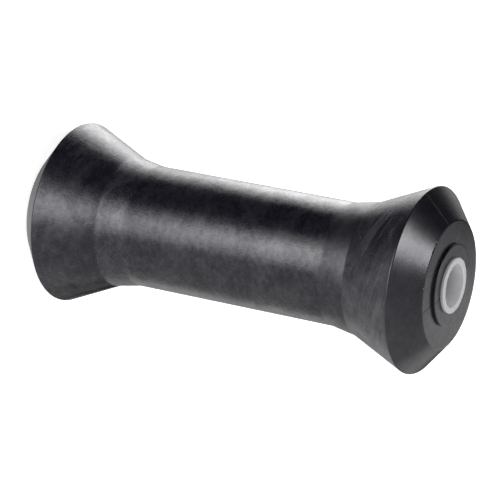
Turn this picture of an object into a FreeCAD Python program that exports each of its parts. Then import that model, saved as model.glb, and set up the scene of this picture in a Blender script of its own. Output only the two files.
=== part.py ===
import FreeCAD, Part
import os
import Sketcher

# Keel roller for a boat trailer: a waisted rubber body moulded round a plain nylon tube.
# The roller stands on one end. Its axis is +Z, the origin is the middle of the lower
# tube end, and both ends are alike. Lengths are in millimetres.

# Lengths run along the axis, outwards from the middle of the roller. The rim is measured
# to its sharp corner: its rounding brings it down to 90 mm.
SIZES = {
    "barrel_length": 107.0,
    "barrel_diameter": 60.0,
    "neck_length": 13.5,
    "neck_rise": 2.5,
    "flare_length": 28.5,
    "rim_corner_diameter": 90.6,
    "bevel_depth": 11.8,
    "face_diameter": 61.5,
    "hub_height": 1.3,
    "hub_diameter": 40.0,
    "tube_proud": 1.4,
    "tube_bore": 20.9,
    "tube_wall": 2.9,
    "waist_blend": 8.0,
    "rim_blend": 1.2,
    "face_edge_break": 0.4,
    "hub_edge_break": 0.4,
    "tube_lip_break": 0.5,
}

# Radii, and stations above the middle plane, as expressions over the sizes.
BARREL_RADIUS = "Sizes.barrel_diameter / 2"
ROOT_RADIUS = f"{BARREL_RADIUS} + Sizes.neck_rise"
RIM_RADIUS = "Sizes.rim_corner_diameter / 2"
FACE_RADIUS = "Sizes.face_diameter / 2"
HUB_RADIUS = "Sizes.hub_diameter / 2"
BORE_RADIUS = "Sizes.tube_bore / 2"
TUBE_RADIUS = f"{BORE_RADIUS} + Sizes.tube_wall"
MIDDLE = "0"
BARREL_END = "Sizes.barrel_length / 2"
ROOT = f"{BARREL_END} + Sizes.neck_length"
RIM = f"{ROOT} + Sizes.flare_length"
FACE = f"{RIM} + Sizes.bevel_depth"
HUB = f"{FACE} + Sizes.hub_height"
TUBE_END = f"{HUB} + Sizes.tube_proud"

# Two edges are the same circle when radius and height agree to this much.
MATCH = 1e-4


def make_sheet(doc):
    sheet = doc.addObject("Spreadsheet::Sheet", "Sizes")
    for row, (alias, value) in enumerate(SIZES.items(), start=1):
        sheet.set(f"A{row}", alias)
        sheet.set(f"B{row}", str(value))
        sheet.setAlias(f"B{row}", alias)
    doc.recompute()


def new_body(doc, label):
    """A body drawn about the middle of the roller and lifted to stand on its end."""
    body = doc.addObject("PartDesign::Body", label)
    body.Label = label
    body.setExpression("Placement.Base.z", TUBE_END)
    return body


def origin_feature(body, role):
    return next(item for item in body.Origin.OriginFeatures if item.Role == role)


def new_sketch(body, name, plane):
    sketch = body.newObject("Sketcher::SketchObject", name)
    sketch.AttachmentSupport = [(origin_feature(body, plane), "")]
    sketch.MapMode = "FlatFace"
    return sketch


def bind(sketch, constraint, name, expression):
    index = sketch.addConstraint(constraint)
    sketch.renameConstraint(index, name)
    sketch.setExpression(f"Constraints.{name}", expression)


def draw_outline(sketch, corners):
    """Closes straight lines through (name, radius, station) corners, each bound to the sheet."""
    points = [
        FreeCAD.Vector(sketch.evalExpression(radius), sketch.evalExpression(station), 0)
        for _, radius, station in corners
    ]
    for start, end in zip(points, points[1:] + points[:1]):
        sketch.addGeometry(Part.LineSegment(start, end), False)
    for line, (name, radius, station) in enumerate(corners):
        before = (line - 1) % len(corners)
        sketch.addConstraint(Sketcher.Constraint("Coincident", before, 2, line, 1))
        across = Sketcher.Constraint("DistanceX", -1, 1, line, 1, points[line].x)
        bind(sketch, across, f"{name}_radius", radius)
        if station == MIDDLE:
            sketch.addConstraint(Sketcher.Constraint("PointOnObject", line, 1, -1))
        else:
            along = Sketcher.Constraint("DistanceY", -1, 1, line, 1, points[line].y)
            bind(sketch, along, f"{name}_station", station)


def round_corner(sketch, corners, name, size):
    """Takes a named corner off with an arc. The sharp corner stays as a reference point."""
    names = [corner[0] for corner in corners]
    line_before = names.index(name) - 1
    radius = sketch.evalExpression(f"Sizes.{size}")
    sketch.fillet(line_before, 2, radius, True, True)
    arc = sketch.GeometryCount - 2
    bind(sketch, Sketcher.Constraint("Radius", arc, radius), f"{name}_blend", f"Sizes.{size}")


def circle_edges(feature, circles):
    """Names of the feature's circular edges that match (radius, station) expressions."""
    names = []
    for radius, station in circles:
        wanted_radius = feature.evalExpression(radius)
        wanted_height = feature.evalExpression(station)
        found = [
            f"Edge{number}"
            for number, edge in enumerate(feature.Shape.Edges, start=1)
            if isinstance(edge.Curve, Part.Circle)
            and abs(edge.Curve.Radius - wanted_radius) < MATCH
            and abs(edge.Curve.Center.z - wanted_height) < MATCH
        ]
        if len(found) != 1:
            raise RuntimeError(f"no single edge at {radius}, {station} on {feature.Name}")
        names += found
    return names


def break_edges(body, name, base, circles, size):
    """Chamfers the matching circular edges of the base feature by a size of the sheet."""
    body.Document.recompute()
    chamfer = body.newObject("PartDesign::Chamfer", name)
    chamfer.Base = (base, circle_edges(base, circles))
    chamfer.setExpression("Size", f"Sizes.{size}")
    return chamfer


def make_rubber_body(doc):
    """The moulded rubber: barrel, waist, two flares, bevelled ends and raised hubs."""
    body = new_body(doc, "rubber_body")
    section = new_sketch(body, "half_section", "XZ_Plane")
    corners = [
        ("bore_middle", TUBE_RADIUS, MIDDLE),
        ("barrel_middle", BARREL_RADIUS, MIDDLE),
        ("waist", BARREL_RADIUS, BARREL_END),
        ("flare_root", ROOT_RADIUS, ROOT),
        ("rim", RIM_RADIUS, RIM),
        ("face_edge", FACE_RADIUS, FACE),
        ("hub_foot", HUB_RADIUS, FACE),
        ("hub_edge", HUB_RADIUS, HUB),
        ("bore_mouth", TUBE_RADIUS, HUB),
    ]
    draw_outline(section, corners)
    round_corner(section, corners, "waist", "waist_blend")
    round_corner(section, corners, "rim", "rim_blend")
    turned = body.newObject("PartDesign::Revolution", "turned_half")
    turned.Profile = section
    turned.ReferenceAxis = (section, ["V_Axis"])
    turned.Angle = 360
    face = break_edges(body, "face_edge", turned, [(FACE_RADIUS, FACE)], "face_edge_break")
    hub = break_edges(body, "hub_edge", face, [(HUB_RADIUS, HUB)], "hub_edge_break")
    both_ends = body.newObject("PartDesign::Mirrored", "both_ends")
    both_ends.TransformMode = "Whole shape"
    both_ends.Originals = [hub]
    both_ends.MirrorPlane = (origin_feature(body, "XY_Plane"), [""])
    both_ends.Refine = True
    body.Tip = both_ends
    return body


def make_bush_tube(doc):
    """The plain nylon tube that the spindle turns in, proud of the hub at each end."""
    body = new_body(doc, "bush_tube")
    section = new_sketch(body, "ring", "XY_Plane")
    centre = FreeCAD.Vector(0, 0, 0)
    axis = FreeCAD.Vector(0, 0, 1)
    for circle, (name, expression) in enumerate([("outer", TUBE_RADIUS), ("bore", BORE_RADIUS)]):
        radius = section.evalExpression(expression)
        section.addGeometry(Part.Circle(centre, axis, radius), False)
        section.addConstraint(Sketcher.Constraint("Coincident", circle, 3, -1, 1))
        bind(section, Sketcher.Constraint("Radius", circle, radius), name, expression)
    tube = body.newObject("PartDesign::Pad", "tube")
    tube.Profile = section
    tube.SideType = "Symmetric"
    tube.setExpression("Length", f"2 * ({TUBE_END})")
    lips = [
        (radius, station)
        for radius in (TUBE_RADIUS, BORE_RADIUS)
        for station in (TUBE_END, f"-({TUBE_END})")
    ]
    break_edges(body, "lips", tube, lips, "tube_lip_break")
    return body


def check(doc, bodies):
    failed = [item.Name for item in doc.Objects if {"Invalid", "Error"} & set(item.State)]
    if failed:
        raise RuntimeError(f"objects that did not build: {failed}")
    sketches = [item for item in doc.Objects if item.isDerivedFrom("Sketcher::SketchObject")]
    loose = [sketch.Name for sketch in sketches if not sketch.FullyConstrained]
    if loose:
        raise RuntimeError(f"sketches that are not fully constrained: {loose}")
    for body in bodies:
        if body.Shape.isNull() or not body.Shape.isValid() or len(body.Shape.Solids) != 1:
            raise RuntimeError(f"{body.Label} is not one valid solid")


def main():
    doc = FreeCAD.newDocument("boat_trailer_roller")
    make_sheet(doc)
    bodies = [make_rubber_body(doc), make_bush_tube(doc)]
    doc.recompute()
    check(doc, bodies)
    os.makedirs("parts", exist_ok=True)
    for body in bodies:
        body.Shape.exportStep(f"parts/{body.Label}.step")
        box = body.Shape.BoundBox
        print(body.Label, round(body.Shape.Volume, 1), "mm3, z", round(box.ZMin, 3), round(box.ZMax, 3))


main()
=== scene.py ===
import math

import bmesh
import bpy
from bpy.props import FloatProperty, FloatVectorProperty, IntProperty, PointerProperty
from mathutils import Matrix, Quaternion, Vector


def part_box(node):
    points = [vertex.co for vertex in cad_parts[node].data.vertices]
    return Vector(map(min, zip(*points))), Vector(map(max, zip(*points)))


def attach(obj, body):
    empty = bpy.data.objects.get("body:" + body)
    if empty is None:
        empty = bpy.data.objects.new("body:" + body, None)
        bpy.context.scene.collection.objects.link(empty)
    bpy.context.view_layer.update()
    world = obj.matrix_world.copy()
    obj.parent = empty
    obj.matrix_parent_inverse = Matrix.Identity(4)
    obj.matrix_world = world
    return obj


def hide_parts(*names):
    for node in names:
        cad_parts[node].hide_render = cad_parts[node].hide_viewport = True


# A black rubber keel roller on a white nylon tube, standing on one end of the tube.
# Its axis is +Z. The side towards -Y is the one that the camera sees.

bl_info = {
    "name": "Boat trailer roller",
    "version": (1, 0, 0),
    "blender": (4, 5, 0),
    "location": "3D View > Sidebar > Roller",
    "description": "Builds a waisted rubber keel roller, its nylon tube and a plain studio",
    "category": "Object",
}

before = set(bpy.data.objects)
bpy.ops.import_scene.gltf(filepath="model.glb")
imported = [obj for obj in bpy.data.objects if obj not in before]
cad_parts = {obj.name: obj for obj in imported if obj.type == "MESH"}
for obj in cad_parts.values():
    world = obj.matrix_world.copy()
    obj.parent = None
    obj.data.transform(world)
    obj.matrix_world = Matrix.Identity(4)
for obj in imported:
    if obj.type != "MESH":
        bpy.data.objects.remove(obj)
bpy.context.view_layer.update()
RUBBER_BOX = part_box("rubber_body")
TUBE_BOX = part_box("bush_tube")
MM = 0.001

# How near two places or cuts (metres), slopes and turns (radians) of a mesh count as the same.
SAME_PLACE = 1e-6
SAME_CUT = 1e-7
SAME_SLOPE = 0.01
SAME_TURN = 1e-4

# How far each corner of the rubber's section is rounded off, and in how many steps.
RUBBER_ROUNDS = {
    "waist": (0.75 * MM, 3),
    "root": (0.25 * MM, 2),
    "rim": (0.55 * MM, 4),
    "face_edge": (0.4 * MM, 3),
    "hub_foot": (0.05 * MM, 2),
    "hub_edge": (0.6 * MM, 3),
    "bore_mouth": (0.1 * MM, 2),
}
OUTER_LIP_ROUND = (0.5 * MM, 4)
BORE_LIP_ROUND = (0.4 * MM, 3)

# The narrow loops beside the rounded rings go into each band that is wider than this.
SHOULDER_WIDTH = 0.1 * MM
WIDE_BAND = 0.5 * MM

# The mould's marks on the upper end: their turns round the axis in degrees, and their heights as
# shares of the seam height. The seam of the flare begins at its own height and runs up to the rim.
FLARE_SEAM_TURN, FLARE_SEAM_SHARE, FLARE_SEAM_START = -51.0, 1.3, 195.0 * MM
BEVEL_SEAM_TURN, BEVEL_SEAM_SHARE = -151.0, 0.6
SPLIT_TURN = -59.0
NICK_TURN = -115.5
BUMP_TURNS, BUMP_SHARE = (-118.5, -122.0, -126.0, -82.0), 1.5

# The flat strips beside and before a seam, and how far the rounding of the face edge reaches.
SEAM_MARGIN = 0.1 * MM
SEAM_RUN_IN = 1.5 * MM
FACE_EDGE_REACH = 0.5 * MM


def middle_height(box):
    return (box[0].z + box[1].z) / 2


def length(name, default, description):
    """A length in metres, given here in millimetres."""
    return FloatProperty(
        name=name,
        description=description,
        default=default * MM,
        min=0.0,
        subtype="DISTANCE",
        unit="LENGTH",
    )


def share(name, default, description):
    return FloatProperty(
        name=name, description=description, default=default, min=0.0, max=1.0, subtype="FACTOR"
    )


def colour(name, default, description):
    return FloatVectorProperty(
        name=name, description=description, default=default, size=3, min=0.0, max=1.0, subtype="COLOR"
    )


class RollerSizes(bpy.types.PropertyGroup):
    barrel_length: length("Barrel length", 107.0, "Length of the straight middle")
    barrel_diameter: length("Barrel diameter", 60.0, "Diameter of the straight middle")
    neck_length: length("Neck length", 13.5, "Length of the gentle rise from barrel to flare")
    neck_rise: length("Neck rise", 2.5, "How much the radius grows along the neck")
    flare_length: length("Flare length", 28.5, "Length of each flare, from its crisp root to the rim")
    rim_diameter: length("Rim diameter", 90.34, "Diameter of the rim, measured to its sharp corner")
    bevel_depth: length("Bevel depth", 11.8, "Length of the sloping end outside the rim")
    face_diameter: length("Face diameter", 61.5, "Diameter of the flat end face")
    hub_height: length("Hub height", 1.3, "How far the hub stands out of the end face")
    hub_diameter: length("Hub diameter", 40.0, "Diameter of the raised hub")
    hub_undercut: length("Hub undercut", 0.3, "How far the wall of the hub leans in at its foot")
    tube_bore: length("Tube bore", 20.9, "Inner diameter of the tube")
    tube_wall: length("Tube wall", 2.9, "Wall thickness of the tube")
    seam_width: length("Seam width", 0.6, "Width of the fine mould lines")
    seam_height: length("Seam height", 0.13, "How far the raised mould lines stand out")
    split_depth: length("Split depth", 0.45, "Depth of the split line across the end face and the hub")
    turns: IntProperty(name="Steps round", description="Faces round each piece", default=256, min=24)


class RollerFinish(bpy.types.PropertyGroup):
    rubber: colour("Rubber", (0.0032, 0.0032, 0.0064), "Clean black rubber")
    bloom: colour("Bloom", (0.05, 0.05, 0.057), "The grey bloom and dust that cloud the rubber")
    rubber_gloss: share("Rubber roughness", 0.16, "Roughness of the clean rubber")
    grain_depth: length("Grain depth", 0.05, "Depth of the fine grain of the rubber")
    nylon: colour("Nylon", (0.51, 0.51, 0.53), "The off-white tube, at its ends")
    # Painted light: near its mouths the bore is drawn lighter than the tube's own colour, standing in
    # for light shining through the nylon.
    nylon_bore_painted_light: colour("Nylon bore", (0.86, 0.86, 0.88), "The off-white tube, inside")
    nylon_gloss: share("Nylon roughness", 0.55, "Roughness of the tube")


class RollerStudio(bpy.types.PropertyGroup):
    aim: FloatVectorProperty(
        name="Aim",
        description="The point that the camera looks at",
        default=(2.175 * MM, 0.747 * MM, 111.526 * MM),
        size=3,
        subtype="XYZ",
        unit="LENGTH",
    )
    distance: length("Camera distance", 1269.576, "From the camera to the point it looks at")
    elevation: FloatProperty(
        name="Elevation",
        description="Angle of the camera above the horizon",
        default=math.radians(26.084),
        subtype="ANGLE",
        unit="ROTATION",
    )
    roll: FloatProperty(
        name="Roll",
        description="Turn of the camera that lays the roller on its side in the picture",
        default=math.radians(101.198),
        subtype="ANGLE",
        unit="ROTATION",
    )
    lens: FloatProperty(
        name="Lens",
        description="Focal length of the camera, in millimetres",
        default=188.42,
        min=1.0,
        subtype="DISTANCE_CAMERA",
        unit="CAMERA",
    )


# ---- modelling helpers


def spin_section(corners, turns):
    """Turns a closed section of (radius, height) corners round Z and returns the bmesh."""
    bm = bmesh.new()
    verts = [bm.verts.new((radius, 0.0, height)) for radius, height in corners]
    for start, end in zip(verts, verts[1:] + verts[:1]):
        bm.edges.new((start, end))
    bmesh.ops.spin(
        bm,
        geom=bm.verts[:] + bm.edges[:],
        cent=(0.0, 0.0, 0.0),
        axis=(0.0, 0.0, 1.0),
        angle=math.tau,
        steps=turns,
        use_merge=True,
    )
    bmesh.ops.recalc_face_normals(bm, faces=bm.faces)
    for face in bm.faces:
        face.smooth = True
    return bm


def ring_edges(bm, radius, height):
    """The edges of the circle at that radius and height."""

    def on_ring(vert):
        return abs(vert.co.xy.length - radius) < SAME_PLACE and abs(vert.co.z - height) < SAME_PLACE

    return [edge for edge in bm.edges if all(on_ring(vert) for vert in edge.verts)]


def round_ring(bm, radius, height, offset, segments):
    """Rounds off the circle at that radius and height."""
    edges = ring_edges(bm, radius, height)
    if not edges:
        raise RuntimeError(f"no ring at radius {radius}, height {height}")
    bmesh.ops.bevel(
        bm,
        geom=edges,
        offset=offset,
        offset_type="OFFSET",
        segments=segments,
        profile=0.5,
        affect="EDGES",
        material=-1,
        clamp_overlap=True,
    )


def band_width(face):
    """Length of the face along the section, from ring to ring."""

    def climbs(edge):
        start, end = (vert.co for vert in edge.verts)
        return abs(start.z - end.z) + abs(start.xy.length - end.xy.length) > SAME_PLACE

    return max((edge.calc_length() for edge in face.edges if climbs(edge)), default=0.0)


def add_shoulders(bm):
    """Narrow loops beside every rounded ring, so that the wide bands stay straight in gloss."""
    wide = [face for face in bm.faces if band_width(face) > WIDE_BAND]
    bmesh.ops.inset_region(
        bm, faces=wide, thickness=SHOULDER_WIDTH, use_boundary=True, use_even_offset=True
    )


def finish_mesh(bm, name, material):
    """Turns the bmesh into an object of the scene, with its one material."""
    bmesh.ops.recalc_face_normals(bm, faces=bm.faces)
    mesh = bpy.data.meshes.new(name)
    bm.to_mesh(mesh)
    bm.free()
    mesh.materials.append(material)
    piece = bpy.data.objects.new(name, mesh)
    bpy.context.scene.collection.objects.link(piece)
    return piece


def band_test(start, end, middle):
    """A test for the faces of the band from one (radius, height) corner of the section to the next."""
    drop, rise = start[0] - end[0], end[1] - start[1]
    slope = drop / math.hypot(drop, rise)
    near = 0.01 * MM

    def belongs(face):
        height = face.calc_center_median().z - middle
        return abs(face.normal.z - slope) < SAME_SLOPE and start[1] - near < height < end[1] + near

    return belongs


def edge_test(corner, reach, middle):
    """A test for the faces that round off one (radius, height) corner of the section."""

    def belongs(face):
        centre = face.calc_center_median()
        return math.hypot(centre.xy.length - corner[0], centre.z - middle - corner[1]) < reach

    return belongs


def cut(bm, faces, point, normal):
    """Splits the faces along a plane."""
    edges = {edge for face in faces for edge in face.edges}
    verts = {vert for face in faces for vert in face.verts}
    geometry = [*faces, *edges, *verts]
    bmesh.ops.bisect_plane(bm, geom=geometry, dist=SAME_CUT, plane_co=point, plane_no=normal)


def make_flat(face):
    """Shades a face flat, and keeps its slope out of the shading of the faces round it."""
    face.smooth = False
    for edge in face.edges:
        edge.smooth = False


def score_line(bm, turn, width, depth, belongs, start=None):
    """Raises (or sinks, below zero) a fine line across a band, at a turn round the axis in degrees.

    With a start, the line begins at that height and runs upwards.
    """
    angle = math.radians(turn)
    radial = Vector((math.cos(angle), math.sin(angle), 0.0))
    across = Vector((-math.sin(angle), math.cos(angle), 0.0))
    upwards = Vector((0.0, 0.0, 1.0))
    near = width / 2 + SEAM_MARGIN

    def on_side():
        return [face for face in bm.faces if belongs(face) and face.calc_center_median().dot(radial) > 0]

    def on_line():
        return [face for face in on_side() if abs(face.calc_center_median().dot(across)) < near]

    for offset in (-near, -width / 2, 0.0, width / 2, near):
        cut(bm, on_side(), across * offset, across)
    if start is not None:
        for height in (start, start + SEAM_RUN_IN):
            cut(bm, on_line(), upwards * height, upwards)
    bm.normal_update()
    middle = {
        vert
        for face in on_side()
        for vert in face.verts
        if abs(vert.co.dot(across)) < SAME_PLACE
        and (start is None or vert.co.z > start + SEAM_MARGIN)
        and all(belongs(other) for other in vert.link_faces)
    }
    if not middle:
        raise RuntimeError(f"nothing to move at {turn:.0f} degrees")
    for vert in middle:
        vert.co += vert.normal * depth
        for face in vert.link_faces:
            make_flat(face)


def chip(bm, turn, depth, belongs):
    """Raises (or sinks, below zero) the vertices of one column across a rounded edge."""
    angle = math.radians(turn)
    inner = [vert for vert in bm.verts if all(belongs(face) for face in vert.link_faces)]
    bm.normal_update()
    gaps = [abs(math.remainder(math.atan2(vert.co.y, vert.co.x) - angle, math.tau)) for vert in inner]
    nearest = min(gaps)
    for vert, gap in zip(inner, gaps):
        if gap < nearest + SAME_TURN:
            vert.co += vert.normal * depth
            for face in vert.link_faces:
                make_flat(face)


# ---- node helpers


def add_node(tree, kind, **settings):
    """A new node of that kind, with its settings."""
    node = tree.nodes.new(kind)
    for key, value in settings.items():
        setattr(node, key, value)
    return node


def find_input(node, key):
    """An input by its name, with _ for a space, or by its number, written i0, i1 and so on."""
    if key[0] == "i" and key[1:].isdigit():
        return node.inputs[int(key[1:])]
    return node.inputs[key.replace("_", " ")]


def feed(tree, node, **inputs):
    """Sets each input to a value, or links it to another node's output."""
    for key, value in inputs.items():
        socket = find_input(node, key)
        if isinstance(value, bpy.types.NodeSocket):
            tree.links.new(value, socket)
        else:
            socket.default_value = value
    return node


def new_group(name, inputs, outputs):
    tree = bpy.data.node_groups.new(name, "ShaderNodeTree")
    for socket, kind, default in inputs:
        made = tree.interface.new_socket(socket, in_out="INPUT", socket_type=kind)
        if default is not None:
            made.default_value = default
    for socket, kind in outputs:
        tree.interface.new_socket(socket, in_out="OUTPUT", socket_type=kind)
    return tree, add_node(tree, "NodeGroupInput"), add_node(tree, "NodeGroupOutput")


def feed_in_order(tree, node, values):
    return feed(tree, node, **{f"i{index}": value for index, value in enumerate(values)})


def calculate(tree, operation, *values, clamp=False):
    node = add_node(tree, "ShaderNodeMath", operation=operation, use_clamp=clamp)
    return feed_in_order(tree, node, values).outputs["Value"]


def calculate_vector(tree, operation, *values, output="Vector"):
    node = add_node(tree, "ShaderNodeVectorMath", operation=operation)
    return feed_in_order(tree, node, values).outputs[output]


def dot_product(tree, first, second):
    return calculate_vector(tree, "DOT_PRODUCT", first, second, output="Value")


def add_up(tree, parts, shares, base=0.0):
    """A base and the named parts on top of it, each times its share."""
    total = base
    for name, weight in shares.items():
        total = calculate(tree, "MULTIPLY_ADD", parts[name], weight, total)
    return total


def remap(tree, value, low, high, to_low=0.0, to_high=1.0, smooth=True):
    kind = "SMOOTHSTEP" if smooth else "LINEAR"
    node = add_node(tree, "ShaderNodeMapRange", interpolation_type=kind)
    return feed(
        tree, node, Value=value, From_Min=low, From_Max=high, To_Min=to_low, To_Max=to_high
    ).outputs["Result"]


def noise(tree, vector, scale, detail=4.0, roughness=0.6, distortion=0.0):
    node = add_node(tree, "ShaderNodeTexNoise")
    return feed(
        tree, node, Vector=vector, Scale=scale, Detail=detail, Roughness=roughness, Distortion=distortion
    ).outputs["Fac"]


def speckle(tree, vector, scale):
    """Fine spots of one size."""
    spots = noise(tree, vector, scale, detail=1.0, roughness=0.5)
    return remap(tree, spots, low=0.3, high=0.7, smooth=False)


def ramp(tree, height, stops):
    """A share that changes along the roller, through (millimetres above the lower end, share) stops."""
    node = add_node(tree, "ShaderNodeValToRGB")
    low, high = stops[0][0], stops[-1][0]
    points = node.color_ramp.elements
    points[0].position, points[1].position = 0.0, 1.0
    for at, _ in stops[1:-1]:
        points.new((at - low) / (high - low))
    for point, (_, level) in zip(points, stops):
        point.color = (level, level, level, 1.0)
    feed(tree, node, Fac=remap(tree, height, low * MM, high * MM, smooth=False))
    return node.outputs["Color"]


def blend(tree, factor, first, second):
    """A colour between two others."""
    node = feed(
        tree,
        add_node(tree, "ShaderNodeMix", data_type="RGBA"),
        Factor=factor,
        i6=(*first, 1.0),
        i7=(*second, 1.0),
    )
    return node.outputs[2]


def turned_streaks(name):
    """Streaks that run round the axis, where the surface was wiped or rubbed."""
    tree, given, result = new_group(
        name,
        [
            ("Vector", "NodeSocketVector", None),
            ("Pitch", "NodeSocketFloat", 900.0),
            ("Run", "NodeSocketFloat", 25.0),
            ("Slant", "NodeSocketFloat", 0.0),
            ("Low", "NodeSocketFloat", 0.4),
            ("High", "NodeSocketFloat", 0.7),
        ],
        [("Mask", "NodeSocketFloat")],
    )
    parts = feed(tree, add_node(tree, "ShaderNodeSeparateXYZ"), Vector=given.outputs["Vector"]).outputs
    slanted = calculate(tree, "MULTIPLY_ADD", parts["X"], given.outputs["Slant"], parts["Z"])
    stretched = feed(
        tree,
        add_node(tree, "ShaderNodeCombineXYZ"),
        X=calculate(tree, "MULTIPLY", parts["X"], given.outputs["Run"]),
        Y=calculate(tree, "MULTIPLY", parts["Y"], given.outputs["Run"]),
        Z=calculate(tree, "MULTIPLY", slanted, given.outputs["Pitch"]),
    )
    lines = noise(tree, stretched.outputs["Vector"], scale=1.0)
    mask = remap(tree, lines, given.outputs["Low"], given.outputs["High"], smooth=False)
    feed(tree, result, Mask=mask)
    return tree


def clouding(name):
    """Soft patches of bloom, large and small together."""
    tree, given, result = new_group(
        name,
        [
            ("Vector", "NodeSocketVector", None),
            ("Scale", "NodeSocketFloat", 30.0),
            ("Low", "NodeSocketFloat", 0.4),
            ("High", "NodeSocketFloat", 0.7),
        ],
        [("Mask", "NodeSocketFloat")],
    )
    vector, scale = given.outputs["Vector"], given.outputs["Scale"]
    patches = noise(tree, vector, scale, detail=5.0, roughness=0.55, distortion=0.6)
    feed(tree, result, Mask=remap(tree, patches, given.outputs["Low"], given.outputs["High"]))
    return tree


def soft_panel(name):
    """The shape of a soft rectangular light: its spans are tangents, seen along the centre line."""
    tree, given, result = new_group(
        name,
        [
            ("Vector", "NodeSocketVector", None),
            ("Centre", "NodeSocketVector", (0.0, 0.0, 1.0)),
            ("Across", "NodeSocketVector", (1.0, 0.0, 0.0)),
            ("Along", "NodeSocketVector", (0.0, 1.0, 0.0)),
            ("Half width", "NodeSocketFloat", 0.3),
            ("Half height", "NodeSocketFloat", 0.3),
            ("Side blur", "NodeSocketFloat", 0.1),
            ("End blur", "NodeSocketFloat", 0.1),
            ("Lean", "NodeSocketFloat", 0.0),
        ],
        [("Mask", "NodeSocketFloat")],
    )
    where = given.outputs["Vector"]
    just_ahead = 0.01
    ahead = calculate(tree, "MAXIMUM", dot_product(tree, where, given.outputs["Centre"]), just_ahead)
    spans = (("Across", "Half width", "Side blur"), ("Along", "Half height", "End blur"))
    slopes, masks = [], []
    for axis, half, blur in spans:
        slopes.append(calculate(tree, "DIVIDE", dot_product(tree, where, given.outputs[axis]), ahead))
        inner = calculate(tree, "SUBTRACT", given.outputs[half], given.outputs[blur])
        outer = calculate(tree, "ADD", given.outputs[half], given.outputs[blur])
        masks.append(remap(tree, calculate(tree, "ABSOLUTE", slopes[-1]), inner, outer, 1.0, 0.0))
    shift = calculate(tree, "DIVIDE", slopes[0], given.outputs["Half width"])
    leaning = calculate(tree, "MULTIPLY_ADD", shift, given.outputs["Lean"], 1.0)
    leaning = calculate(tree, "MAXIMUM", leaning, 0.0)
    mask = calculate(tree, "MULTIPLY", calculate(tree, "MULTIPLY", masks[0], masks[1]), leaning)
    feed(tree, result, Mask=mask)
    return tree


GROUPS = {"Turned streaks": turned_streaks, "Clouding": clouding, "Soft panel": soft_panel}


def use_group(tree, name, **inputs):
    """The mask of a shared group, which is built when it is first used."""
    group = bpy.data.node_groups.get(name) or GROUPS[name](name)
    node = add_node(tree, "ShaderNodeGroup", node_tree=group)
    return feed(tree, node, **inputs).outputs["Mask"]


# ---- finishes


def blank_material(name):
    material = bpy.data.materials.new(name)
    material.use_nodes = True
    material.node_tree.nodes.clear()
    return material, material.node_tree


def new_material(name):
    """A material with its shader and the place on the object that its patterns read."""
    material, tree = blank_material(name)
    shader = add_node(tree, "ShaderNodeBsdfPrincipled")
    feed(tree, add_node(tree, "ShaderNodeOutputMaterial"), Surface=shader.outputs["BSDF"])
    where = add_node(tree, "ShaderNodeTexCoord").outputs["Object"]
    return material, tree, shader, where


# How the finish of the rubber changes along the roller, as (millimetres above the lower end, share)
# stops: how strongly each band is wiped and dusted, how coarse its grain is, how much rougher than
# the clean rubber it is, how much waxy film it carries, and how deep its turned lines are.
WIPING = (
    (0, 0.05), (14, 0.1), (16, 0.35), (41, 0.2), (57, 0.0), (160, 0.0),
    (176, 0.5), (200, 1.0), (204, 0.5), (206, 0.05), (220, 0.0),
)
DUSTING = (
    (0, 0.2), (42, 0.25), (43, 0.65), (56, 0.5), (58, 0.33), (162, 0.33),
    (164, 0.4), (176, 0.35), (190, 0.35), (203, 0.25), (206, 0.15), (220, 0.2),
)
COARSENESS = (
    (0, 0.2), (14, 0.2), (16, 0.6), (42, 0.6), (44, 0.8), (58, 0.7), (70, 0.6),
    (160, 0.6), (164, 0.5), (200, 0.5), (203, 0.4), (205.5, 0.12), (220, 0.2),
)
ROUGHENING = (
    (0, 0.55), (14, 0.55), (16, 0.2), (40, 0.2), (43, 0.4), (56, 0.35), (62, 0.0),
    (160, 0.0), (164, 0.75), (176, 0.75), (180, 0.3), (203, 0.2), (205.5, 0.55), (220, 0.55),
)
FILMING = (
    (0, 0.3), (16, 0.25), (30, 0.2), (42.5, 0.05), (43.5, 0.42), (56, 0.35), (60, 0.3),
    (160, 0.3), (164, 0.25), (200, 0.28), (206, 0.3), (212, 0.15), (220, 0.2),
)
TURNING = (
    (0, 0.1), (14, 0.15), (42, 0.12), (44, 0.08), (58, 0.03), (162, 0.03),
    (176, 0.1), (200, 0.1), (206, 0.12), (220, 0.1),
)

# What the dust and the waxy film are made of, as shares of each texture, and what the wiped
# streaks add to the dust. The film starts below nothing, so that its textures come through in spots.
DUST_SHARES = {"clouds": 0.22, "patches": 0.18, "mottle": 0.12, "grain": 0.12}
FILM_SHARES = {"grain": 0.26, "mottle": 0.28, "patches": 0.34, "clouds": 0.24}
FILM_BASE = -0.47
WIPED_DUST = 0.6

# The coarser middle spots are a third longer round the roller than along it.
ROUND_STRETCH = (0.75, 0.75, 1.0)

# How strongly the film's spots show in coarse grain, and how strongly they do in any grain.
COARSE_SPREAD, LEAST_SPREAD = 1.3, 0.25

# What the film, the wiped streaks and the roughening add to the roughness.
FILM_ROUGHNESS, WIPED_ROUGHNESS, BAND_ROUGHNESS = 0.16, 0.12, 0.2

# How much deeper the soft waves of the surface are than its grain.
WAVE_DEPTH = 3.6


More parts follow.
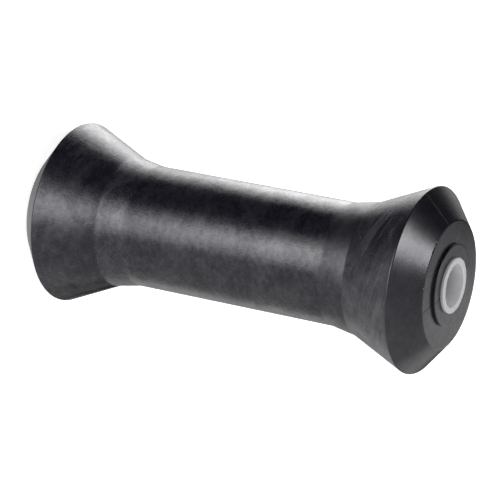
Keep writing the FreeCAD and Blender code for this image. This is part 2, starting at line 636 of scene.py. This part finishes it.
def black_rubber(finish):
    """Black rubber with a soft bloom, a patchy waxy film, wiped streaks and fine turned lines."""
    material, tree, shader, where = new_material("Black rubber")
    height = feed(tree, add_node(tree, "ShaderNodeSeparateXYZ"), Vector=where).outputs["Z"]
    turned = calculate_vector(tree, "MULTIPLY", where, ROUND_STRETCH)
    textures = {
        "clouds": use_group(tree, "Clouding", Vector=where, Scale=26.0, Low=0.45, High=0.72),
        "patches": use_group(tree, "Clouding", Vector=turned, Scale=110.0, Low=0.35, High=0.7),
        "mottle": speckle(tree, turned, scale=420.0),
        "grain": speckle(tree, where, scale=1100.0),
    }
    waves = noise(tree, where, scale=200.0, detail=2.0, roughness=0.5)
    lines = use_group(tree, "Turned streaks", Vector=where, Pitch=1500.0, Run=60.0, Low=0.42, High=0.72)
    wiped = use_group(
        tree, "Turned streaks", Vector=where, Pitch=380.0, Run=38.0, Slant=0.3, Low=0.42, High=0.64
    )
    wiped_here = use_group(tree, "Clouding", Vector=where, Scale=48.0, Low=0.35, High=0.62)
    wiping, dusting, coarseness, roughening, filming, turning = (
        ramp(tree, height, stops)
        for stops in (WIPING, DUSTING, COARSENESS, ROUGHENING, FILMING, TURNING)
    )

    wipes = calculate(tree, "MULTIPLY", calculate(tree, "MULTIPLY", wiped, wiped_here), wiping)
    dust = calculate(tree, "MULTIPLY", add_up(tree, textures, DUST_SHARES), dusting)
    dust = calculate(tree, "MULTIPLY_ADD", wipes, WIPED_DUST, dust, clamp=True)
    spots = add_up(tree, textures, FILM_SHARES, FILM_BASE)
    spread = calculate(tree, "MULTIPLY_ADD", coarseness, COARSE_SPREAD, LEAST_SPREAD)
    film = calculate(tree, "MULTIPLY_ADD", spots, spread, filming, clamp=True)
    filmed = calculate(tree, "MULTIPLY", film, FILM_ROUGHNESS)
    gloss = calculate(tree, "MULTIPLY_ADD", filmed, coarseness, finish.rubber_gloss)
    gloss = calculate(tree, "MULTIPLY_ADD", wipes, WIPED_ROUGHNESS, gloss)
    gloss = calculate(tree, "MULTIPLY_ADD", roughening, BAND_ROUGHNESS, gloss)
    rough = calculate(tree, "MULTIPLY_ADD", waves, WAVE_DEPTH, textures["grain"])
    rough = calculate(tree, "MULTIPLY", rough, coarseness)
    relief = calculate(tree, "MULTIPLY_ADD", lines, turning, rough)
    bump = feed(
        tree, add_node(tree, "ShaderNodeBump"), Strength=1.0, Distance=finish.grain_depth, Height=relief
    )
    feed(
        tree,
        shader,
        Base_Color=blend(tree, dust, finish.rubber, finish.bloom),
        Roughness=gloss,
        Normal=bump.outputs["Normal"],
        Specular_IOR_Level=0.37,
        Specular_Tint=(0.945, 0.945, 1.0, 1.0),
        Coat_Weight=film,
        Coat_Roughness=0.3,
    )
    return material


# Where the nylon shows its plain grey: at its lips, by radius, and in the bore, by the depth from each
# end. Nearer the mouths the bore is painted lighter, a painted glow standing in for light through the
# nylon, and its fading back to grey deeper in is painted shade.
# The bore's share is over 1, so that its mouths are grey all over.
LIP_GREY_FROM, LIP_GREY_TO = 10.46 * MM, 10.7 * MM
BORE_PAINTED_SHADE_FROM, BORE_PAINTED_SHADE_TO = 14 * MM, 1 * MM
BORE_PAINTED_SHADE_SHARE = 1.2
CLOUD_GREY_SHARE = 0.12
STREAK_ROUGHNESS = 0.08


def white_nylon(finish):
    """Off-white nylon, plain grey at its ends, with painted light in the bore near its mouths and
    painted shade deeper in.
    """
    material, tree, shader, where = new_material("White nylon")
    across = calculate_vector(tree, "MULTIPLY", where, (1.0, 1.0, 0.0))
    radius = calculate_vector(tree, "LENGTH", across, output="Value")
    streaks = use_group(tree, "Turned streaks", Vector=where, Pitch=1500.0, Run=40.0, Low=0.4, High=0.7)
    clouds = use_group(tree, "Clouding", Vector=where, Scale=180.0, Low=0.4, High=0.7)
    height = feed(tree, add_node(tree, "ShaderNodeSeparateXYZ"), Vector=where).outputs["Z"]
    middle = middle_height(TUBE_BOX)
    from_middle = calculate(tree, "ABSOLUTE", calculate(tree, "SUBTRACT", height, middle))
    # Painted shade: the bore's painted light fades to the plain grey deeper in.
    inside = remap(
        tree, from_middle, middle - BORE_PAINTED_SHADE_FROM, middle - BORE_PAINTED_SHADE_TO, BORE_PAINTED_SHADE_SHARE, 0.0
    )
    lips = remap(tree, radius, LIP_GREY_FROM, LIP_GREY_TO)
    grey_and_painted_shade = calculate(tree, "MAXIMUM", lips, inside)
    grey_and_painted_shade = calculate(tree, "MULTIPLY_ADD", clouds, CLOUD_GREY_SHARE, grey_and_painted_shade, clamp=True)
    smoothest, roughest = finish.nylon_gloss, finish.nylon_gloss + STREAK_ROUGHNESS
    # The base colour carries the bore's painted light and painted shade.
    feed(
        tree,
        shader,
        Base_Color=blend(tree, grey_and_painted_shade, finish.nylon_bore_painted_light, finish.nylon),
        Roughness=remap(tree, streaks, 0.0, 1.0, smoothest, roughest, smooth=False),
        Specular_IOR_Level=0.35,
    )
    return material


# ---- pieces


def section_corners(sizes):
    """The corners of the upper half of the rubber's section, as (radius, height above the middle)."""
    barrel = sizes.barrel_diameter / 2
    hub = sizes.hub_diameter / 2
    barrel_end = sizes.barrel_length / 2
    root_at = barrel_end + sizes.neck_length
    rim_at = root_at + sizes.flare_length
    face_at = rim_at + sizes.bevel_depth
    hub_at = face_at + sizes.hub_height
    return {
        "waist": (barrel, barrel_end),
        "root": (barrel + sizes.neck_rise, root_at),
        "rim": (sizes.rim_diameter / 2, rim_at),
        "face_edge": (sizes.face_diameter / 2, face_at),
        "hub_foot": (hub - sizes.hub_undercut, face_at),
        "hub_edge": (hub, hub_at),
        "bore_mouth": (sizes.tube_bore / 2 + sizes.tube_wall, hub_at),
    }


def mark_upper_end(bm, sizes, corners, middle):
    """The mould's seams on flare and bevel, and the split line, nick and bumps of the end face."""
    flare = band_test(corners["root"], corners["rim"], middle)
    bevel = band_test(corners["rim"], corners["face_edge"], middle)
    end_ring = band_test(corners["face_edge"], corners["hub_foot"], middle)
    hub_top = band_test(corners["hub_edge"], corners["bore_mouth"], middle)
    face_edge = edge_test(corners["face_edge"], FACE_EDGE_REACH, middle)
    width, raised, split = sizes.seam_width, sizes.seam_height, -sizes.split_depth
    score_line(bm, FLARE_SEAM_TURN, width, FLARE_SEAM_SHARE * raised, flare, start=FLARE_SEAM_START)
    score_line(bm, BEVEL_SEAM_TURN, width, BEVEL_SEAM_SHARE * raised, bevel)
    score_line(bm, SPLIT_TURN, width, split, end_ring)
    score_line(bm, SPLIT_TURN, width, split, hub_top)
    chip(bm, NICK_TURN, split, face_edge)
    for turn in BUMP_TURNS:
        chip(bm, turn, BUMP_SHARE * raised, face_edge)


class ROLLER_OT_rubber_body(bpy.types.Operator):
    """Build the moulded rubber body"""

    bl_idname = "roller.rubber_body"
    bl_label = "Rubber body"

    def execute(self, context):
        sizes = context.scene.roller_sizes
        middle = middle_height(RUBBER_BOX)
        corners = section_corners(sizes)
        upper = list(corners.values())
        section = [(radius, middle + height) for radius, height in upper]
        section += [(radius, middle - height) for radius, height in reversed(upper)]
        bm = spin_section(section, sizes.turns)
        for name, (offset, segments) in RUBBER_ROUNDS.items():
            radius, height = corners[name]
            for end in (1, -1):
                round_ring(bm, radius, middle + end * height, offset, segments)
        add_shoulders(bm)
        mark_upper_end(bm, sizes, corners, middle)
        piece = finish_mesh(bm, "roller_rubber", black_rubber(context.scene.roller_finish))
        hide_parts("rubber_body")
        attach(piece, "root")
        return {"FINISHED"}


class ROLLER_OT_bush_tube(bpy.types.Operator):
    """Build the nylon tube in the bore"""

    bl_idname = "roller.bush_tube"
    bl_label = "Nylon tube"

    def execute(self, context):
        sizes = context.scene.roller_sizes
        bore = sizes.tube_bore / 2
        outside = bore + sizes.tube_wall
        low, high = TUBE_BOX[0].z, TUBE_BOX[1].z
        bm = spin_section([(bore, low), (outside, low), (outside, high), (bore, high)], sizes.turns)
        for height in (low, high):
            round_ring(bm, outside, height, *OUTER_LIP_ROUND)
            round_ring(bm, bore, height, *BORE_LIP_ROUND)
        add_shoulders(bm)
        piece = finish_mesh(bm, "roller_tube", white_nylon(context.scene.roller_finish))
        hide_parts("bush_tube")
        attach(piece, "root")
        return {"FINISHED"}


# ---- studio

# Soft lights round the middle of the roller: where each one hangs (degrees, metres), how far it
# spans and fades as tangents seen from there, how much it gains towards one side, and how strong
# it is.
LIGHTS = {
    "key": dict(
        azimuth=134, elevation=-13, distance=0.75,
        width=0.46, height=0.12, sides=0.47, ends=0.59, lean=0.5, strength=8.7,
    ),
    "front": dict(
        azimuth=262, elevation=-13, distance=0.3,
        width=0.23, height=0.33, sides=0.52, ends=0.88, lean=0.35, strength=11.7,
    ),
    "end": dict(
        azimuth=193, elevation=69, distance=1.25,
        width=0.16, height=0.16, sides=0.07, ends=0.04, lean=0.15, strength=14.2,
    ),
    "bounce": dict(
        azimuth=64, elevation=31, distance=0.4,
        width=0.45, height=0.2, sides=0.09, ends=0.33, lean=0.55, strength=0.8,
    ),
}

# The surround grows from dark to its level towards one turn round the axis (degrees), between two
# cosines of the angle from there. The dark cards take light away from it.
SURROUND_TURN = 10.0
SURROUND_FROM, SURROUND_TO, SURROUND_LEVEL = -0.58, 0.42, 0.9
DARK_CARDS = (
    dict(azimuth=79, elevation=8, width=1.2, height=0.6, sides=0.2, ends=0.03, strength=-0.6),
    dict(azimuth=88, elevation=-27, width=0.5, height=0.33, sides=0.25, ends=0.12, strength=-0.45),
    dict(azimuth=20, elevation=-26, width=0.25, height=0.4, sides=0.22, ends=0.3, strength=-0.3),
)

WHITE = (1.0, 1.0, 1.0, 1.0)
FLOOR_COLOUR = (0.8, 0.8, 0.8, 1.0)
FLOOR_LIFT = 0.76
FLOOR_RADIUS = 4.0
SENSOR_WIDTH = 36.0


def panel_axes(light):
    """The way out to the middle of a light, and the ways across it and along it."""
    azimuth, elevation = math.radians(light["azimuth"]), math.radians(light["elevation"])
    outwards = Vector((math.cos(azimuth), math.sin(azimuth), 0.0))
    across = Vector((-math.sin(azimuth), math.cos(azimuth), 0.0))
    centre = outwards * math.cos(elevation) + Vector((0.0, 0.0, math.sin(elevation)))
    return centre, across, centre.cross(across)


def panel_glow(tree, where, light):
    """The shape of one soft light over its panel, or over the sky."""
    centre, across, along = panel_axes(light)
    return use_group(
        tree,
        "Soft panel",
        Vector=where,
        Centre=centre,
        Across=across,
        Along=along,
        Half_width=light["width"],
        Half_height=light["height"],
        Side_blur=light["sides"],
        End_blur=light["ends"],
        Lean=light.get("lean", 0.0),
    )


def make_light(name, light):
    """A see-through panel that glows softly. The camera doesn't see it."""
    centre, across, along = panel_axes(light)
    middle = Vector((0.0, 0.0, middle_height(TUBE_BOX)))
    distance = light["distance"]
    wide = across * distance * (light["width"] + light["sides"])
    tall = along * distance * (light["height"] + light["ends"])
    facing = Matrix((wide, tall, centre)).transposed().to_4x4()
    place = Matrix.Translation(middle + centre * distance) @ facing
    bm = bmesh.new()
    bmesh.ops.create_grid(bm, x_segments=1, y_segments=1, size=1.0, matrix=place)
    material, tree = blank_material(f"Light {name}")
    where = add_node(tree, "ShaderNodeTexCoord").outputs["Object"]
    from_middle = calculate_vector(tree, "SUBTRACT", where, middle)
    glow = feed(
        tree,
        add_node(tree, "ShaderNodeEmission"),
        Color=panel_glow(tree, from_middle, light),
        Strength=light["strength"],
    )
    clear = add_node(tree, "ShaderNodeBsdfTransparent")
    surface = add_shaders(tree, clear.outputs["BSDF"], glow.outputs["Emission"])
    feed(tree, add_node(tree, "ShaderNodeOutputMaterial"), Surface=surface)
    panel = finish_mesh(bm, f"light_{name}", material)
    panel.visible_camera = False


def add_shaders(tree, first, second):
    both = feed_in_order(tree, add_node(tree, "ShaderNodeAddShader"), (first, second))
    return both.outputs["Shader"]


def for_camera(tree, unseen, seen):
    """One shader for the light that falls on things and another for what the camera sees."""
    path = add_node(tree, "ShaderNodeLightPath")
    mix = add_node(tree, "ShaderNodeMixShader")
    return feed_in_order(tree, mix, (path.outputs["Is Camera Ray"], unseen, seen)).outputs["Shader"]


def make_world():
    """A white sky for the camera, and a soft surround with dark cards for the roller."""
    world = bpy.data.worlds.new("Studio surround")
    bpy.context.scene.world = world
    world.use_nodes = True
    tree = world.node_tree
    tree.nodes.clear()
    where = add_node(tree, "ShaderNodeTexCoord").outputs["Generated"]
    way = calculate_vector(tree, "NORMALIZE", where)
    turn = math.radians(SURROUND_TURN)
    side = dot_product(tree, way, (math.cos(turn), math.sin(turn), 0.0))
    level = remap(tree, side, SURROUND_FROM, SURROUND_TO, 0.0, SURROUND_LEVEL)
    for card in DARK_CARDS:
        level = calculate(tree, "MULTIPLY_ADD", panel_glow(tree, way, card), card["strength"], level)
    level = calculate(tree, "MAXIMUM", level, 0.0)
    light = feed(tree, add_node(tree, "ShaderNodeBackground"), Color=level, Strength=1.0)
    white = feed(tree, add_node(tree, "ShaderNodeBackground"), Color=WHITE, Strength=1.0)
    sky = for_camera(tree, light.outputs["Background"], white.outputs["Background"])
    feed(tree, add_node(tree, "ShaderNodeOutputWorld"), Surface=sky)


def make_floor():
    """A white floor that keeps the roller's shadow and throws no light back at it."""
    bm = bmesh.new()
    bmesh.ops.create_circle(bm, cap_ends=True, radius=FLOOR_RADIUS, segments=64)
    material, tree = blank_material("White floor")
    matt = feed(tree, add_node(tree, "ShaderNodeBsdfDiffuse"), Color=FLOOR_COLOUR)
    lift = feed(tree, add_node(tree, "ShaderNodeEmission"), Color=WHITE, Strength=FLOOR_LIFT)
    seen = add_shaders(tree, matt.outputs["BSDF"], lift.outputs["Emission"])
    clear = add_node(tree, "ShaderNodeBsdfTransparent")
    surface = for_camera(tree, clear.outputs["BSDF"], seen)
    feed(tree, add_node(tree, "ShaderNodeOutputMaterial"), Surface=surface)
    floor = finish_mesh(bm, "studio_floor", material)


def make_camera(studio):
    """The camera, rolled so that the standing roller lies on its side in the picture."""
    data = bpy.data.cameras.new("studio_camera")
    data.sensor_width = SENSOR_WIDTH
    data.lens = studio.lens
    camera = bpy.data.objects.new("studio_camera", data)
    bpy.context.scene.collection.objects.link(camera)
    back = Vector((0.0, -math.cos(studio.elevation), math.sin(studio.elevation)))
    camera.location = Vector(studio.aim) + back * studio.distance
    camera.rotation_mode = "QUATERNION"
    camera.rotation_quaternion = Quaternion(back, studio.roll) @ (-back).to_track_quat("-Z", "Y")
    bpy.context.scene.camera = camera


class ROLLER_OT_studio(bpy.types.Operator):
    """Set up the white floor, the soft light and the camera"""

    bl_idname = "roller.studio"
    bl_label = "Studio"

    def execute(self, context):
        context.scene.view_settings.view_transform = "Standard"
        make_world()
        for name, light in LIGHTS.items():
            make_light(name, light)
        make_floor()
        make_camera(context.scene.roller_studio)
        return {"FINISHED"}


class ROLLER_PT_panel(bpy.types.Panel):
    bl_idname = "ROLLER_PT_panel"
    bl_label = "Boat trailer roller"
    bl_space_type = "VIEW_3D"
    bl_region_type = "UI"
    bl_category = "Roller"

    def draw(self, context):
        scene = context.scene
        for group in (scene.roller_sizes, scene.roller_finish, scene.roller_studio):
            box = self.layout.box()
            for name in group.__annotations__:
                box.prop(group, name)
        for operator in OPERATORS:
            self.layout.operator(operator.bl_idname)


OPERATORS = (ROLLER_OT_rubber_body, ROLLER_OT_bush_tube, ROLLER_OT_studio)
CLASSES = (RollerSizes, RollerFinish, RollerStudio, *OPERATORS, ROLLER_PT_panel)


def register():
    for cls in CLASSES:
        bpy.utils.register_class(cls)
    bpy.types.Scene.roller_sizes = PointerProperty(type=RollerSizes)
    bpy.types.Scene.roller_finish = PointerProperty(type=RollerFinish)
    bpy.types.Scene.roller_studio = PointerProperty(type=RollerStudio)


def unregister():
    del bpy.types.Scene.roller_studio
    del bpy.types.Scene.roller_finish
    del bpy.types.Scene.roller_sizes
    for cls in reversed(CLASSES):
        bpy.utils.unregister_class(cls)


def main():
    register()
    bpy.ops.roller.rubber_body()
    bpy.ops.roller.bush_tube()
    bpy.ops.roller.studio()


if __name__ == "__main__":
    main()
